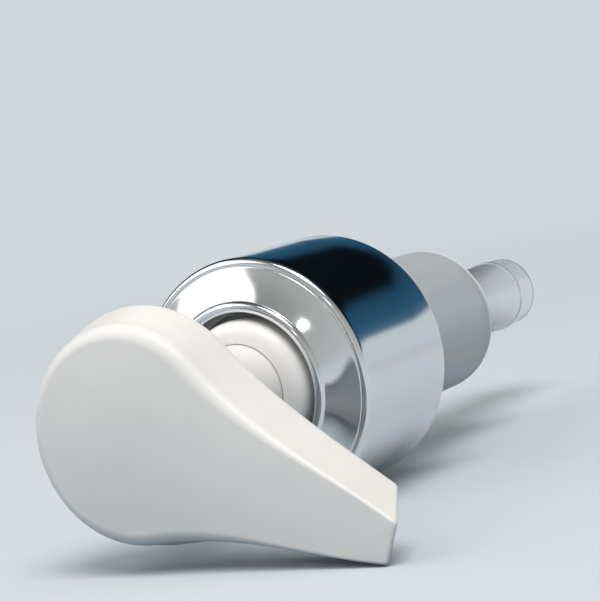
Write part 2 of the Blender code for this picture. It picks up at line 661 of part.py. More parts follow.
inlet_ball = valve_ball(
    "inlet_ball", INLET_BALL_RADIUS, INLET_SEAT_HEIGHT, INLET_SEAT_HOLE_RADIUS, inlet_steel
)
outlet_ball = valve_ball(
    "outlet_ball", OUTLET_BALL_RADIUS, STEM_SEAT_HEIGHT, STEM_SEAT_HOLE_RADIUS, outlet_steel
)


def stem_profile():
    """Hollow rod with a stop above the piston and the upper ball's seat and chamber at its top."""
    stop_foot = PISTON_TOP_HEIGHT + FIT_GAP
    seat_foot = STEM_SEAT_HEIGHT - STEM_SEAT_THICKNESS
    return [
        (STEM_BORE_RADIUS, STEM_FOOT_HEIGHT),
        (STEM_RADIUS, STEM_FOOT_HEIGHT),
        (STEM_RADIUS, stop_foot),
        (STEM_STOP_RADIUS, stop_foot),
        (STEM_STOP_RADIUS, stop_foot + STEM_STOP_THICKNESS),
        (STEM_RADIUS, stop_foot + STEM_STOP_THICKNESS),
        (STEM_RADIUS, STEM_TOP_HEIGHT),
        (STEM_CHAMBER_RADIUS, STEM_TOP_HEIGHT),
        (STEM_CHAMBER_RADIUS, STEM_SEAT_HEIGHT),
        (STEM_SEAT_HOLE_RADIUS, STEM_SEAT_HEIGHT),
        (STEM_SEAT_HOLE_RADIUS, seat_foot),
        (STEM_BORE_RADIUS, seat_foot),
    ]


stem = turned("stem", stem_profile(), SMALL_FACETS, white_stem)


def piston_profile():
    """Hub on the stem, a web, and one thin lip up and one down against the chamber wall."""
    hub_bore = STEM_RADIUS + FIT_GAP
    hub = hub_bore + PISTON_HUB_WALL
    lip = HOUSING_BORE_RADIUS - FIT_GAP
    lip_inside = lip - PISTON_LIP_WALL
    web_foot = (STEM_FOOT_HEIGHT + PISTON_TOP_HEIGHT - PISTON_WEB) / 2
    web_top = web_foot + PISTON_WEB
    return [
        (hub_bore, STEM_FOOT_HEIGHT),
        (hub, STEM_FOOT_HEIGHT),
        (hub, web_foot),
        (lip_inside, web_foot),
        (lip_inside, STEM_FOOT_HEIGHT),
        (lip, STEM_FOOT_HEIGHT),
        (lip, PISTON_TOP_HEIGHT),
        (lip_inside, PISTON_TOP_HEIGHT),
        (lip_inside, web_top),
        (hub, web_top),
        (hub, PISTON_TOP_HEIGHT),
        (hub_bore, PISTON_TOP_HEIGHT),
    ]


piston = turned("piston", piston_profile(), SMALL_FACETS, natural_piston)

piston_retainer = turned(
    "piston_retainer",
    [
        (RETAINER_BORE_RADIUS, RETAINER_FOOT_HEIGHT),
        (RETAINER_RADIUS, RETAINER_FOOT_HEIGHT),
        (RETAINER_RADIUS, RETAINER_TOP_HEIGHT),
        (PLUG_RADIUS, RETAINER_TOP_HEIGHT),
        (PLUG_RADIUS, RETAINER_TOP_HEIGHT + RETAINER_PLUG_LENGTH),
        (RETAINER_BORE_RADIUS, RETAINER_TOP_HEIGHT + RETAINER_PLUG_LENGTH),
    ],
    SMALL_FACETS,
    natural_retainer,
)

stem_wiper = turned(
    "stem_wiper",
    [
        (GUIDE_RADIUS, WIPER_FOOT_HEIGHT),
        (HOUSING_BORE_RADIUS - FIT_GAP, WIPER_FOOT_HEIGHT),
        (HOUSING_BORE_RADIUS - FIT_GAP, WIPER_TOP_HEIGHT),
        (GUIDE_RADIUS, WIPER_TOP_HEIGHT),
    ],
    SMALL_FACETS,
    soft_seal,
)


def spring_points():
    """Helix whose first and last turns are wound closer than the rest."""
    foot = CAGE_TOP_HEIGHT + FIT_GAP + SPRING_WIRE_RADIUS
    top = RETAINER_FOOT_HEIGHT - FIT_GAP - SPRING_WIRE_RADIUS
    open_pitch = (top - foot - 2 * SPRING_END_PITCH) / (SPRING_TURNS - 2)
    points = []
    for step in range(SPRING_TURNS * SPRING_POINTS_PER_TURN + 1):
        turn = step / SPRING_POINTS_PER_TURN
        open_turns = min(max(turn - 1, 0), SPRING_TURNS - 2)
        height = foot + open_pitch * open_turns + SPRING_END_PITCH * (turn - open_turns)
        angle = math.tau * turn
        x = SPRING_COIL_RADIUS * math.cos(angle)
        y = SPRING_COIL_RADIUS * math.sin(angle)
        points.append(Vector((x, y, height)))
    return points


def least_gap(points):
    """Smallest distance between the wire's surface and itself, at least half a turn further on."""
    least = math.inf
    for first in range(len(points)):
        for second in range(first + SPRING_POINTS_PER_TURN // 2, len(points)):
            least = min(least, (points[first] - points[second]).length - 2 * SPRING_WIRE_RADIUS)
    return least


def spring_object():
    points = spring_points()
    gap = least_gap(points)
    clear = gap > SPRING_LEAST_GAP
    print("return_spring, least gap to itself in metres:", round(gap, 6), "clear:", clear)
    curve = wire_curve("return_spring", points, SPRING_WIRE_RADIUS)
    curve.materials.append(spring_steel)
    return new_object("return_spring", curve, pump_axis)


return_spring = spring_object()


def head_rings():
    """From the ceiling down the inside, round the foot, up the outside and over the crown."""
    rings = []
    ceiling = HEAD_TOP_HEIGHT - HEAD_ROOF
    for height in (ceiling, HEAD_BASE_HEIGHT):
        rings.append((teardrop(draft_at(height) - HEAD_WALL, reach_at(height) - HEAD_WALL), height))
    foot_widening = draft_at(HEAD_BASE_HEIGHT) - HEAD_FOOT_RADIUS
    foot_reach = reach_at(HEAD_BASE_HEIGHT) - HEAD_FOOT_RADIUS
    rings.append((teardrop(foot_widening, foot_reach), HEAD_BASE_HEIGHT))
    foot_top = HEAD_BASE_HEIGHT + HEAD_FOOT_RADIUS
    rings.append((teardrop(draft_at(foot_top), reach_at(foot_top)), foot_top))
    for step in range(EDGE_STEPS + 1):
        angle = math.pi / 2 * step / EDGE_STEPS
        height = HEAD_EDGE_HEIGHT + HEAD_EDGE_RADIUS * math.sin(angle)
        reach = NOZZLE_REACH - NOZZLE_EDGE_RADIUS * (1 - math.cos(angle))
        rings.append((teardrop(-HEAD_EDGE_RADIUS * (1 - math.cos(angle)), reach), height))
    edge_outline = rings[-1][0]
    for ring_share, height_share in zip(CROWN_RING_SHARES, CROWN_HEIGHT_SHARES):
        height = HEAD_TOP_HEIGHT + HEAD_CROWN * height_share
        rings.append((drawn_to_spine(edge_outline, ring_share), height))
    return rings


head_mesh = smooth_by_angle(lofted_mesh("actuator_shell", head_rings()))
actuator_shell = new_object("actuator_shell", head_mesh, head_swivel, white_head)
combine(
    actuator_shell,
    "DIFFERENCE",
    cylinder_tool(
        "spout_hole",
        SPOUT_TUBE_RADIUS + FIT_GAP,
        (reach_at(SPOUT_HEIGHT) - 2 * HEAD_WALL - NOZZLE_SLANT / 2, 0, SPOUT_HEIGHT),
        (NOZZLE_REACH + CUT_OVERRUN, 0, SPOUT_HEIGHT),
        SPOUT_FACETS,
        head_swivel,
    ),
)


def core_plate_rings():
    rings = []
    for height in (HEAD_BASE_HEIGHT + CORE_PLATE_RECESS, HEAD_BASE_HEIGHT + CORE_PLATE_RECESS + CORE_PLATE):
        inset = HEAD_WALL + FIT_GAP
        rings.append((teardrop(draft_at(height) - inset, reach_at(height) - inset), height))
    return rings


def neck_profile():
    """Solid neck and boss: the stem's socket is cut out of them afterwards."""
    boss_top = HEAD_TOP_HEIGHT - HEAD_ROOF - FIT_GAP
    plate_middle = HEAD_BASE_HEIGHT + CORE_PLATE_RECESS + CORE_PLATE / 2
    return [
        (0, NECK_FOOT_HEIGHT),
        (NECK_RADIUS - NECK_CHAMFER, NECK_FOOT_HEIGHT),
        (NECK_RADIUS, NECK_FOOT_HEIGHT + NECK_CHAMFER),
        (NECK_RADIUS, plate_middle),
        (CORE_BOSS_RADIUS, plate_middle),
        (CORE_BOSS_RADIUS, boss_top),
        (0, boss_top),
    ]


def socket_profile():
    """Socket for the stem, with a narrower chamber above it that leads to the spout."""
    shoulder = STEM_TOP_HEIGHT + FIT_GAP
    chamber_top = SPOUT_HEIGHT + SPOUT_BORE_RADIUS
    return [
        (0, NECK_FOOT_HEIGHT - CUT_OVERRUN),
        (STEM_RADIUS + FIT_GAP, NECK_FOOT_HEIGHT - CUT_OVERRUN),
        (STEM_RADIUS + FIT_GAP, shoulder),
        (CORE_CHAMBER_RADIUS, shoulder),
        (CORE_CHAMBER_RADIUS, chamber_top),
        (0, chamber_top),
    ]


def bypass_tool():
    """Slot across the chamber's mouth, so that liquid passes the upper ball when it is lifted."""
    bm = bmesh.new()
    bmesh.ops.create_cube(bm, size=1)
    length = 2 * STEM_CHAMBER_RADIUS
    bmesh.ops.scale(bm, vec=(length, BYPASS_SLOT_WIDTH, 2 * BYPASS_SLOT_DEPTH), verts=bm.verts)
    slot = as_tool(new_object("bypass_slot", mesh_from("bypass_slot", bm), head_swivel))
    slot.location.z = STEM_TOP_HEIGHT + FIT_GAP
    return slot


core_mesh = smooth_by_angle(lofted_mesh("actuator_core", core_plate_rings()))
actuator_core = new_object("actuator_core", core_mesh, head_swivel, white_core)
spout_end = reach_at(SPOUT_HEIGHT - SPOUT_TUBE_RADIUS) - FIT_GAP
combine(
    actuator_core,
    "UNION",
    turned_tool("neck_and_boss", neck_profile(), SMALL_FACETS, head_swivel),
    cylinder_tool(
        "spout_tube",
        SPOUT_TUBE_RADIUS,
        (0, 0, SPOUT_HEIGHT),
        (spout_end, 0, SPOUT_HEIGHT),
        SPOUT_FACETS,
        head_swivel,
    ),
)
combine(
    actuator_core,
    "DIFFERENCE",
    turned_tool("stem_socket", socket_profile(), SMALL_FACETS, head_swivel),
    cylinder_tool(
        "spout_channel",
        SPOUT_BORE_RADIUS,
        (0, 0, SPOUT_HEIGHT),
        (spout_end + CUT_OVERRUN, 0, SPOUT_HEIGHT),
        HOLE_FACETS,
        head_swivel,
    ),
    bypass_tool(),
)
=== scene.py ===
"""Soap dispenser pump, off its bottle and lying on its collar and its nozzle, on a pale table."""

import math

import bpy
from mathutils import Matrix, Vector


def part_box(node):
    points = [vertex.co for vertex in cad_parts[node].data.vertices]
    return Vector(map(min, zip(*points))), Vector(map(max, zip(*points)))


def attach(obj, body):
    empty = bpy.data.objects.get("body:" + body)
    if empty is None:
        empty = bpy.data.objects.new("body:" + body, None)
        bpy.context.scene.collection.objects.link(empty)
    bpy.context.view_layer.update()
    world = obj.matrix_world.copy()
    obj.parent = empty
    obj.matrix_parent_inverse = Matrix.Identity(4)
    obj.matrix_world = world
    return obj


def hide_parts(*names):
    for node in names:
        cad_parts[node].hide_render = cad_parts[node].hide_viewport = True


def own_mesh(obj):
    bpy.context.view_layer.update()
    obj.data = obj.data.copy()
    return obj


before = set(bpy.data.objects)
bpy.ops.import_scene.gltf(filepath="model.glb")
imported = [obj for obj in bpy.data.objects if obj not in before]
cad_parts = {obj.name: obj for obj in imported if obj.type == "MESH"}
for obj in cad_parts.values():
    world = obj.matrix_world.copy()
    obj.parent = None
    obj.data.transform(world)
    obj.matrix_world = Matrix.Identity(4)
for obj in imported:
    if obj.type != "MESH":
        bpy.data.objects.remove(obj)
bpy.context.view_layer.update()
bpy.ops.object.select_all(action="DESELECT")

MM = 0.001
POLYOLEFIN_IOR = 1.49

# Points closer than this are merged, and outline corners that turn further than this, in radians, are rounded
MERGE_WITHIN = 0.002 * MM
SHARP_TURN = 0.35

# The pump's axis runs along world Y, and the head is turned on it until its nozzle meets the table.
collar_low, collar_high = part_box("collar_shell")
AXIS = Vector(((collar_low[0] + collar_high[0]) / 2, collar_high[1], (collar_low[2] + collar_high[2]) / 2))
UPRIGHT_TO_LYING = Matrix.Translation(AXIS) @ Matrix.Rotation(math.radians(90), 4, "X")
HEAD_TURN = math.radians(-23.28)


def linear(hex_colour):
    """An sRGB hex value as a linear colour with full alpha."""
    channels = [int(hex_colour[i : i + 2], 16) / 255 for i in (1, 3, 5)]
    return [c / 12.92 if c <= 0.04045 else ((c + 0.055) / 1.055) ** 2.4 for c in channels] + [1.0]


def add_node(tree, kind, inputs=None, **settings):
    """Adds a node; an input is set to a value, or linked where it is given another node's output."""
    node = tree.nodes.new(kind)
    for key, value in settings.items():
        setattr(node, key, value)
    for key, value in (inputs or {}).items():
        if isinstance(value, bpy.types.NodeSocket):
            tree.links.new(value, node.inputs[key])
        else:
            node.inputs[key].default_value = value
    return node


def new_material(name):
    material = bpy.data.materials.new(name)
    material.use_nodes = True
    tree = material.node_tree
    shader = tree.nodes["Principled BSDF"]
    place = add_node(tree, "ShaderNodeTexCoord").outputs["Object"]
    return material, tree, shader, place


def moulded_plastic(name, shade, deep_shade, rough, grain_mm, grain_lift_mm, softness):
    """White polypropylene from a polished or a lightly spark-eroded mould: soft light, faint clouding.

    The mould's own grain is too fine for the picture, so it is drawn a few tenths of a millimetre wide.
    """
    material, tree, shader, place = new_material(name)
    cloud = add_node(tree, "ShaderNodeTexNoise", {"Vector": place, "Scale": 1 / (5 * MM), "Detail": 3.0})
    tint = add_node(
        tree,
        "ShaderNodeMix",
        {"Factor": cloud.outputs["Fac"], "A": linear(shade), "B": linear(deep_shade)},
        data_type="RGBA",
    )
    grain = add_node(
        tree, "ShaderNodeTexNoise", {"Vector": place, "Scale": 1 / (grain_mm * MM), "Detail": 4.0}
    )
    polish = add_node(
        tree,
        "ShaderNodeMapRange",
        {"Value": grain.outputs["Fac"], "To Min": rough - 0.03, "To Max": rough + 0.04},
    )
    bump = add_node(
        tree,
        "ShaderNodeBump",
        {"Height": grain.outputs["Fac"], "Strength": 0.25, "Distance": grain_lift_mm * MM},
    )
    tree.links.new(tint.outputs[2], shader.inputs["Base Color"])
    tree.links.new(polish.outputs["Result"], shader.inputs["Roughness"])
    tree.links.new(bump.outputs["Normal"], shader.inputs["Normal"])
    shader.inputs["IOR"].default_value = POLYOLEFIN_IOR
    shader.inputs["Subsurface Weight"].default_value = softness
    shader.inputs["Subsurface Radius"].default_value = (0.9 * MM, 0.8 * MM, 0.7 * MM)
    shader.inputs["Subsurface Scale"].default_value = 1.0
    return material


def natural_plastic(name, shade, clear, rough, thick_rim_highlight_from=None, thick_rim_highlight_to=None):
    """Unpigmented polypropylene or polyethylene: hazy and see-through, with faint flow marks along it.

    Past the two limits, in millimetres along the pump, it turns milky and white, partly as it does where its
    wall is thick, and partly as a painted highlight on a rim.
    """
    material, tree, shader, place = new_material(name)
    flow_mark_mm = 2.4
    along = add_node(tree, "ShaderNodeMapping", {"Vector": place, "Scale": (1, 0.15, 1)})
    flow = add_node(
        tree,
        "ShaderNodeTexNoise",
        {"Vector": along.outputs["Vector"], "Scale": 1 / (flow_mark_mm * MM), "Detail": 2.0},
    )
    tint = add_node(
        tree,
        "ShaderNodeMix",
        {"Factor": flow.outputs["Fac"], "A": linear(shade), "B": linear("#FAFBFB")},
        data_type="RGBA",
    )
    polish = add_node(
        tree,
        "ShaderNodeMapRange",
        {"Value": flow.outputs["Fac"], "To Min": rough - 0.04, "To Max": rough + 0.05},
    )
    bump = add_node(
        tree, "ShaderNodeBump", {"Height": flow.outputs["Fac"], "Strength": 0.1, "Distance": 0.01 * MM}
    )
    tree.links.new(tint.outputs[2], shader.inputs["Base Color"])
    tree.links.new(polish.outputs["Result"], shader.inputs["Roughness"])
    tree.links.new(bump.outputs["Normal"], shader.inputs["Normal"])
    shader.inputs["IOR"].default_value = POLYOLEFIN_IOR
    shader.inputs["Transmission Weight"].default_value = clear
    if thick_rim_highlight_to:
        # Painted highlight: past the limits it is painted white and less clear, partly for a thicker wall and
        # partly as a highlight on its rim
        lengthwise = add_node(tree, "ShaderNodeSeparateXYZ", {"Vector": place})
        limits = {"Value": lengthwise.outputs["Y"], "From Min": thick_rim_highlight_from * MM, "From Max": thick_rim_highlight_to * MM}
        thick_rim_highlight = add_node(tree, "ShaderNodeMapRange", limits, interpolation_type="SMOOTHSTEP")
        milky_rim_highlight = add_node(
            tree,
            "ShaderNodeMix",
            {"Factor": thick_rim_highlight.outputs["Result"], "A": tint.outputs[2], "B": linear("#FFFFFF")},
            data_type="RGBA",
        )
        cloudy = add_node(
            tree,
            "ShaderNodeMapRange",
            {"Value": thick_rim_highlight.outputs["Result"], "To Min": clear, "To Max": clear * 0.4},
        )
        tree.links.new(milky_rim_highlight.outputs[2], shader.inputs["Base Color"])
        tree.links.new(cloudy.outputs["Result"], shader.inputs["Transmission Weight"])
    return material


def bare_metal(name, shade, worn_shade, rough, scratch_mm):
    """Plated or drawn metal: a mirror with a breath of haze, and fine marks that run round it.

    Real drawing marks are finer still, and are drawn as coarse as they need to be to show.
    """
    material, tree, shader, place = new_material(name)
    haze = add_node(tree, "ShaderNodeTexNoise", {"Vector": place, "Scale": 1 / (4 * MM), "Detail": 5.0})
    tint = add_node(
        tree,
        "ShaderNodeMix",
        {"Factor": haze.outputs["Fac"], "A": linear(shade), "B": linear(worn_shade)},
        data_type="RGBA",
    )
    along = add_node(tree, "ShaderNodeMapping", {"Vector": place, "Scale": (0.2, 1, 0.2)})
    marks = add_node(
        tree,
        "ShaderNodeTexNoise",
        {"Vector": along.outputs["Vector"], "Scale": 1 / (scratch_mm * MM), "Detail": 2.0},
    )
    polish = add_node(
        tree,
        "ShaderNodeMapRange",
        {"Value": marks.outputs["Fac"], "To Min": rough * 0.8, "To Max": rough * 1.25},
    )
    bump = add_node(
        tree, "ShaderNodeBump", {"Height": marks.outputs["Fac"], "Strength": 0.03, "Distance": 0.004 * MM}
    )
    tree.links.new(tint.outputs[2], shader.inputs["Base Color"])
    tree.links.new(polish.outputs["Result"], shader.inputs["Roughness"])
    tree.links.new(bump.outputs["Normal"], shader.inputs["Normal"])
    shader.inputs["Metallic"].default_value = 1.0
    return material


def soft_foam(name, shade, pore_painted_shade, pore_mm, lift_mm):
    """Expanded polyethylene or soft rubber: matt, with small closed pores, and painted shade in their pits.
    """
    material, tree, shader, place = new_material(name)
    pores = add_node(tree, "ShaderNodeTexVoronoi", {"Vector": place, "Scale": 1 / (pore_mm * MM)})
    tint = add_node(
        # Painted shade: each pore is darker towards its middle, where the bump sinks
        tree,
        "ShaderNodeMix",
        {"Factor": pores.outputs["Distance"], "A": linear(pore_painted_shade), "B": linear(shade)},
        data_type="RGBA",
    )
    bump = add_node(
        tree,
        "ShaderNodeBump",
        {"Height": pores.outputs["Distance"], "Strength": 0.5, "Distance": lift_mm * MM},
    )
    tree.links.new(tint.outputs[2], shader.inputs["Base Color"])
    tree.links.new(bump.outputs["Normal"], shader.inputs["Normal"])
    shader.inputs["Roughness"].default_value = 0.85
    return material


head_white = moulded_plastic("polished_white_polypropylene", "#EAE8E5", "#E1DFDC", 0.34, 0.45, 0.004, 0.06)
ring_white = moulded_plastic("gloss_white_polypropylene", "#EFEDEA", "#E8E6E4", 0.20, 0.4, 0.003, 0.06)
core_white = moulded_plastic("satin_white_polypropylene", "#ECEAE7", "#E3E1DF", 0.34, 0.3, 0.005, 0.04)
collar_chrome = bare_metal("chromed_drawn_aluminium", "#E6E8EB", "#DFE2E5", 0.11, 0.25)
spring_wire = bare_metal("drawn_stainless_wire", "#B9B9B6", "#A9A9A6", 0.22, 0.08)
ball_steel = bare_metal("polished_stainless_ball", "#C9C9C8", "#BDBDBC", 0.10, 0.30)
# The barrel's end, past 25.0 to 25.7 mm along world Y, is painted white: a milkier thick wall and a painted
# highlight on its rim
housing_plastic = natural_plastic("natural_polypropylene_barrel", "#E6EBEF", 0.6, 0.36, 25.0, 25.7)
tube_plastic = natural_plastic("natural_polyethylene_tube", "#F6F9FA", 0.94, 0.22)
inner_plastic = natural_plastic("natural_polyethylene_moulding", "#E6ECEF", 0.25, 0.42)
gasket_foam = soft_foam("expanded_polyethylene_foam", "#EDEDE8", "#D6D6D0", 0.35, 0.05)
seal_rubber = soft_foam("soft_grey_elastomer", "#C9CBCB", "#BBBDBD", 0.20, 0.01)


def arc(centre, radius, start, end, steps=8):
    """Points of an arc as (radius, height) pairs, in millimetres and degrees."""
    points = []
    for step in range(steps + 1):
        angle = math.radians(start + (end - start) * step / steps)
        points.append((centre[0] + radius * math.cos(angle), centre[1] + radius * math.sin(angle)))
    return points


def softened(points, radius, steps=3):
    """Rounds every corner of a closed outline that turns by more than 20 degrees."""
    rounded = []
    for i, point in enumerate(points):
        here = Vector(point)
        back = Vector(points[i - 1]) - here
        ahead = Vector(points[(i + 1) % len(points)]) - here
        doubled = back.length < 1e-6 or ahead.length < 1e-6
        if doubled or here.x < 0.01 or math.pi - back.angle(ahead) < SHARP_TURN:
            rounded.append(tuple(here))
            continue
        cut = min(radius, back.length * 0.45, ahead.length * 0.45)
        start = here + back.normalized() * cut
        end = here + ahead.normalized() * cut
        for step in range(steps + 1):
            t = step / steps
            rounded.append(tuple(start * (1 - t) ** 2 + here * 2 * t * (1 - t) + end * t**2))
    return rounded


def finish_piece(piece, name, material, body, node=None, turn=0.0, smooth=40):
    """Lays the upright piece down, puts its place in its mesh, shades it and hands it to the frame."""
    bpy.ops.object.mode_set(mode="OBJECT")
    piece.name = name
    piece.data.name = name
    piece.matrix_world = UPRIGHT_TO_LYING @ Matrix.Rotation(turn, 4, "Z")
    bpy.ops.object.transform_apply(location=True, rotation=True, scale=True)
    bpy.ops.object.shade_smooth_by_angle(angle=math.radians(smooth))
    piece.data.materials.clear()
    piece.data.materials.append(material)
    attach(piece, body)
    if node:
        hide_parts(node)
    bpy.ops.object.select_all(action="DESELECT")
    return piece


def spun(outline, facets=128):
    """Spins a closed outline of (radius, height) pairs, in millimetres, once round the upright axis."""
    bpy.ops.mesh.primitive_circle_add(vertices=len(outline), radius=MM)
    piece = bpy.context.object
    for vertex, (radius, height) in zip(piece.data.vertices, outline):
        vertex.co = (radius * MM, 0, height * MM)
    bpy.ops.object.mode_set(mode="EDIT")
    bpy.ops.mesh.select_all(action="SELECT")
    bpy.ops.mesh.spin(steps=facets, angle=math.tau, center=(0, 0, 0), axis=(0, 0, 1))
    bpy.ops.mesh.select_all(action="SELECT")
    bpy.ops.mesh.remove_doubles(threshold=MERGE_WITHIN)
    bpy.ops.mesh.normals_make_consistent(inside=False)
    return piece


def stacked(rings):
    """Stretches a grid over equal rings of points in millimetres, closes its seam and fills both ends."""
    count = len(rings[0])
    bpy.ops.mesh.primitive_grid_add(x_subdivisions=count, y_subdivisions=len(rings) - 1, size=MM)
    piece = bpy.context.object
    for index, vertex in enumerate(piece.data.vertices):
        row, column = divmod(index, count + 1)
        vertex.co = Vector(rings[row][column % count]) * MM
    bpy.ops.object.mode_set(mode="EDIT")
    bpy.ops.mesh.select_all(action="SELECT")
    bpy.ops.mesh.remove_doubles(threshold=MERGE_WITHIN)
    bpy.ops.mesh.select_all(action="DESELECT")
    bpy.ops.mesh.select_non_manifold(extend=False)
    bpy.ops.mesh.edge_face_add()
    bpy.ops.mesh.select_all(action="SELECT")
    bpy.ops.mesh.normals_make_consistent(inside=False)
    return piece


def wound(points, radius_mm, sides=4):
    """A round wire along points in millimetres, as a mesh."""
    curve = bpy.data.curves.new("wire", "CURVE")
    curve.dimensions = "3D"
    curve.bevel_depth = radius_mm * MM
    curve.bevel_resolution = sides
    curve.use_fill_caps = True
    path = curve.splines.new("POLY")
    path.points.add(len(points) - 1)
    for point, at in zip(path.points, points):
        point.co = (*(Vector(at) * MM), 1)
    wire = bpy.data.objects.new("wire", curve)
    bpy.context.collection.objects.link(wire)
    bpy.context.view_layer.objects.active = wire
    wire.select_set(True)
    bpy.ops.object.convert(target="MESH")
    return bpy.context.object


# Chrome collar: rolled foot, straight side, rolled rim, thin crease, dished face and a bead round the bore
DISH_OUTER, DISH_INNER, DISH_LOW, DISH_HIGH, DISH_SAG, DISH_STEPS = 14.92, 11.0, 20.87, 22.62, 0.16, 24
collar_outline = [(15.7, 0.0), (15.95, 0.12), (16.0, 0.45)]
collar_outline += [(16.0, height) for height in (6.0, 12.0, 18.0)]
collar_outline += arc((15.2, 20.1), 0.8, 0, 96, 14)
collar_outline += [(15.02, 20.76), (DISH_OUTER, DISH_LOW)]
for step in range(1, DISH_STEPS):
    share = step / DISH_STEPS
    radius = DISH_OUTER - (DISH_OUTER - DISH_INNER) * share
    height = DISH_LOW + (DISH_HIGH - DISH_LOW) * share
    collar_outline.append((radius, height - DISH_SAG * math.sin(math.pi * share)))
collar_outline += [(DISH_INNER, DISH_HIGH)]
collar_outline += arc((10.3, 22.45), 0.7, 25, 180, 12)
collar_outline += [(9.6, 20.95), (10.3, 20.95), (10.3, 21.8), (13.0, 20.2)]
collar_outline += [(14.6, 19.9), (15.3, 19.4), (15.3, 0.0)]
finish_piece(
    spun(softened(collar_outline, 0.05), 192),
    "chrome_collar",
    collar_chrome,
    "closure",
    "collar_shell",
    smooth=60,
)

# Closure inside the collar: a top wall and a skirt, with its thread as a rounded helical ridge
closure_outline = [(15.0, 0.6), (15.0, 19.1), (14.2, 19.9), (9.3, 19.9)]
closure_outline += [(9.3, 18.5), (13.9, 18.5), (13.9, 0.6)]
finish_piece(
    spun(softened(closure_outline, 0.3)),
    "threaded_closure",
    core_white,
    "closure",
    "closure_cap",
)
THREAD_RADIUS, THREAD_START, THREAD_LEAD, THREAD_TURNS, THREAD_STEPS = 13.6, 3.5, 4.2, 1.6, 96
RUN_OUT, RUN_OUT_STEPS = 0.55, 6
thread_points = []
for step in range(THREAD_STEPS + 1):
    turn = THREAD_TURNS * step / THREAD_STEPS
    angle = math.tau * turn
    from_end = min(step, THREAD_STEPS - step)
    reach = THREAD_RADIUS + RUN_OUT * max(0, 1 - from_end / RUN_OUT_STEPS)
    height = THREAD_START + THREAD_LEAD * turn
    thread_points.append((reach * math.cos(angle), reach * math.sin(angle), height))
finish_piece(wound(thread_points, 0.7), "closure_thread", core_white, "closure")

# Foam gasket under the housing's flange
gasket_outline = [(10.2, 15.6), (12.6, 15.6), (12.6, 16.8), (10.2, 16.8)]
finish_piece(
    spun(softened(gasket_outline, 0.2)),
    "foam_ring",
    gasket_foam,
    "pump_body",
    "neck_gasket",
)

# Lock ring: shoulder, shallow dome, dished middle and a rounded mouth for the neck
ring_outline = [(8.3, 11.0), (8.3, 18.5), (8.65, 18.5)]
ring_outline += arc((6.8, 22.0), 1.85, 0, 80, 16)
ring_outline += arc((6.2, 23.62), 0.3, 90, 180, 6)
ring_outline += [(5.9, 19.25), (7.0, 19.25), (7.0, 11.0)]
finish_piece(
    spun(softened(ring_outline, 0.08), 160),
    "domed_lock_ring",
    ring_white,
    "pump_body",
    "lock_ring",
    smooth=60,
)

# Pump housing: flange, barrel with a rolled foot, and a floor with the inlet's hole
housing_outline = [(8.6, 18.2), (8.6, -26.8), (4.8, -26.8), (4.8, -28.3), (8.6, -28.3)]
housing_outline += arc((9.1, -27.5), 0.8, -80, 0, 6)
housing_outline += [(9.9, 17.1), (13.0, 17.1), (13.0, 18.2)]
finish_piece(
    spun(softened(housing_outline, 0.15)),
    "pump_barrel",
    housing_plastic,
    "pump_body",
    "housing",
)

# Inlet tube: neck in the housing's floor, ball seat, stepped mouth for a dip tube and its raised band
tube_outline = [(4.5, -26.8), (3.8, -26.8), (3.8, -32.6), (1.7, -33.0), (1.7, -34.4)]
tube_outline += [(3.8, -34.4), (3.8, -49.8), (4.2, -49.8), (4.2, -54.0), (5.0, -54.0)]
tube_outline += [(5.0, -49.8), (5.2, -49.8), (5.2, -49.0), (5.0, -49.0), (5.0, -28.6), (4.5, -28.6)]
finish_piece(
    spun(softened(tube_outline, 0.15)),
    "inlet_socket",
    tube_plastic,
    "pump_body",
    "inlet_tube",
)

# Wiper under the lock ring's skirt
wiper_outline = [(5.9, 9.4), (8.3, 9.4), (8.3, 10.7), (6.6, 10.7), (6.3, 10.1), (6.0, 10.7), (5.9, 10.7)]
finish_piece(spun(wiper_outline), "stem_seal", seal_rubber, "pump_body", "stem_wiper")

# Return spring, with its first and last turns wound closer
FOOT, TOP, END_PITCH, TURNS, TURN_STEPS, COIL_RADIUS, WIRE_RADIUS = -24.4, 0.8, 1.6, 8, 40, 5.6, 0.5
open_pitch = (TOP - FOOT - 2 * END_PITCH) / (TURNS - 2)
spring_points = []
for step in range(TURNS * TURN_STEPS + 1):
    turn = step / TURN_STEPS
    open_turns = min(max(turn - 1, 0), TURNS - 2)
    angle = math.tau * turn
    height = FOOT + open_pitch * open_turns + END_PITCH * (turn - open_turns)
    spring_points.append((COIL_RADIUS * math.cos(angle), COIL_RADIUS * math.sin(angle), height))
coil = finish_piece(
    wound(spring_points, WIRE_RADIUS), "wound_spring", spring_wire, "pump_body", "return_spring"
)
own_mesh(coil)

# Stem, piston and retainer
stem_outline = [(2.2, 3.0), (3.5, 3.0), (3.5, 9.3), (4.6, 9.3), (4.6, 10.3), (3.5, 10.3), (3.5, 39.8)]
stem_outline += [(2.6, 39.8), (2.6, 34.5), (1.6, 34.5), (1.6, 33.5), (2.2, 33.5)]
finish_piece(
    spun(softened(stem_outline, 0.2), 96),
    "hollow_stem",
    core_white,
    "plunger",
    "stem",
)
piston_outline = [(3.8, 3.0), (5.0, 3.0), (5.0, 5.3), (7.6, 5.3), (7.6, 3.4), (7.9, 3.0), (8.3, 3.0)]
piston_outline += [(8.3, 9.0), (7.9, 9.0), (7.6, 8.6), (7.6, 6.7), (5.0, 6.7), (5.0, 9.0), (3.8, 9.0)]
finish_piece(
    spun(softened(piston_outline, 0.2), 96),
    "lipped_piston",
    inner_plastic,
    "plunger",
    "piston",
)
retainer_outline = [(1.1, 1.6), (6.6, 1.6), (6.6, 2.7), (1.9, 2.7), (1.9, 6.1), (1.1, 6.1)]
finish_piece(
    spun(softened(retainer_outline, 0.2), 96),
    "piston_plug",
    inner_plastic,
    "plunger",
    "piston_retainer",
)

